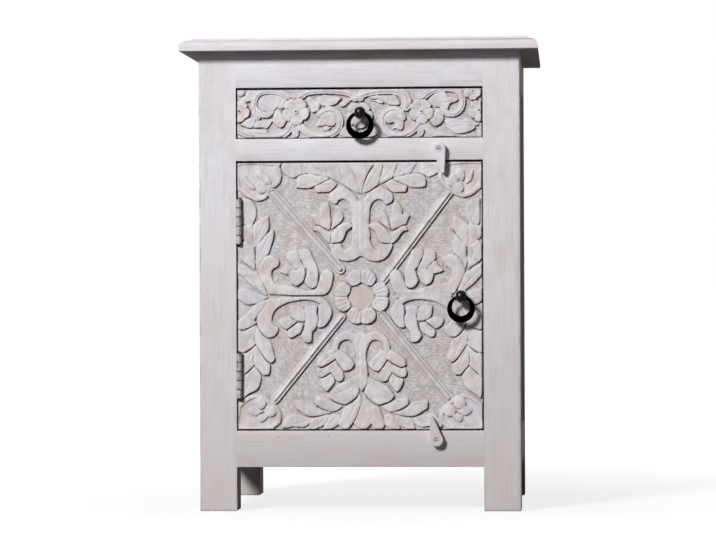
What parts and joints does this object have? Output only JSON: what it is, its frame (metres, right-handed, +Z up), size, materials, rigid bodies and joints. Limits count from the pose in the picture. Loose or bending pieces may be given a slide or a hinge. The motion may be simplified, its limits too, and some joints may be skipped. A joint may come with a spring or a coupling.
{
  "type": "nightstand",
  "caption": "Whitewashed wooden nightstand with a carved drawer over a carved hinged door, black ring pulls and wooden turn-buttons.",
  "frame": {"origin": "on the ground, under the middle of the top board, which is the middle of the bounding box's bottom", "axes": "+X to the right seen from the front, +Y to the back, +Z up; the drawer and door face -Y"},
  "size_m": [0.454, 0.38, 0.6],
  "materials": {
    "whitewashed_wood": "whitewashed, matt",
    "plain_wood": "bare, sanded",
    "black_iron": "black, satin",
    "whitewashed_metal": "steel, washed over with white",
    "steel": "plain steel"
  },
  "bodies": {
    "carcass": {"back_bottom_rail": "whitewashed_wood", "back_left_leg": "whitewashed_wood", "back_panel": "plain_wood", "back_right_leg": "whitewashed_wood", "back_top_rail": "whitewashed_wood", "cleat_screws": "steel", "door_stop_strip": "plain_wood", "drawer_stops": "plain_wood", "floor_brads": "steel", "floor_panel": "plain_wood", "front_bottom_rail": "whitewashed_wood", "front_left_leg": "whitewashed_wood", "front_middle_rail": "whitewashed_wood", "front_right_leg": "whitewashed_wood", "front_top_rail": "whitewashed_wood", "hinge_frame_screws": "steel", "left_floor_cleat": "plain_wood", "left_kicker": "plain_wood", "left_runner": "plain_wood", "left_side_bottom_rail": "whitewashed_wood", "left_side_panel": "whitewashed_wood", "left_side_top_rail": "whitewashed_wood", "left_top_cleat": "plain_wood", "lower_button_screw": "steel", "lower_hinge_frame_leaf": "whitewashed_metal", "lower_hinge_pin": "whitewashed_metal", "right_floor_cleat": "plain_wood", "right_kicker": "plain_wood", "right_runner": "plain_wood", "right_side_bottom_rail": "whitewashed_wood", "right_side_panel": "whitewashed_wood", "right_side_top_rail": "whitewashed_wood", "right_top_cleat": "plain_wood", "runner_screws": "steel", "top_board": "whitewashed_wood", "upper_button_screw": "steel", "upper_hinge_frame_leaf": "whitewashed_metal", "upper_hinge_pin": "whitewashed_metal"},
    "drawer": {"drawer_front": "whitewashed_wood", "drawer_left_side": "plain_wood", "drawer_right_side": "plain_wood", "drawer_back": "plain_wood", "drawer_bottom": "plain_wood", "drawer_brads": "steel", "drawer_pull_stud": "black_iron", "drawer_pull_washer": "steel", "drawer_pull_nut": "steel"},
    "drawer_ring": {"drawer_ring": "black_iron"},
    "door": {"door_panel": "whitewashed_wood", "upper_hinge_door_leaf": "whitewashed_metal", "lower_hinge_door_leaf": "whitewashed_metal", "hinge_door_screws": "steel", "door_pull_stud": "black_iron", "door_pull_washer": "steel", "door_pull_nut": "steel"},
    "door_ring": {"door_ring": "black_iron"},
    "upper_turn_button": {"upper_turn_button": "whitewashed_wood"},
    "lower_turn_button": {"lower_turn_button": "whitewashed_wood"}
  },
  "joints": [
    {"name": "drawer_slide", "type": "slide", "parent": "carcass", "child": "drawer", "axis": [0, -1, 0], "range_m": [0, 0.23]},
    {"name": "drawer_ring_swing", "type": "hinge", "parent": "drawer", "child": "drawer_ring", "pos_m": [0.002, -0.181, 0.50475], "axis": [-1, 0, 0], "range_deg": [-15, 150]},
    {"name": "door_swing", "type": "hinge", "parent": "carcass", "child": "door", "pos_m": [-0.1535, -0.171, 0.273], "axis": [0, 0, -1], "range_deg": [0, 170]},
    {"name": "door_ring_swing", "type": "hinge", "parent": "door", "child": "door_ring", "pos_m": [0.129, -0.181, 0.272], "axis": [-1, 0, 0], "range_deg": [-15, 150]},
    {"name": "upper_button_turn", "type": "hinge", "parent": "carcass", "child": "upper_turn_button", "pos_m": [0.102, -0.1728, 0.459], "axis": [0, 1, 0], "range_deg": [-81, 99]},
    {"name": "lower_button_turn", "type": "hinge", "parent": "carcass", "child": "lower_turn_button", "pos_m": [0.0975, -0.1728, 0.0903], "axis": [0, 1, 0], "range_deg": [-77, 103]}
  ]
}
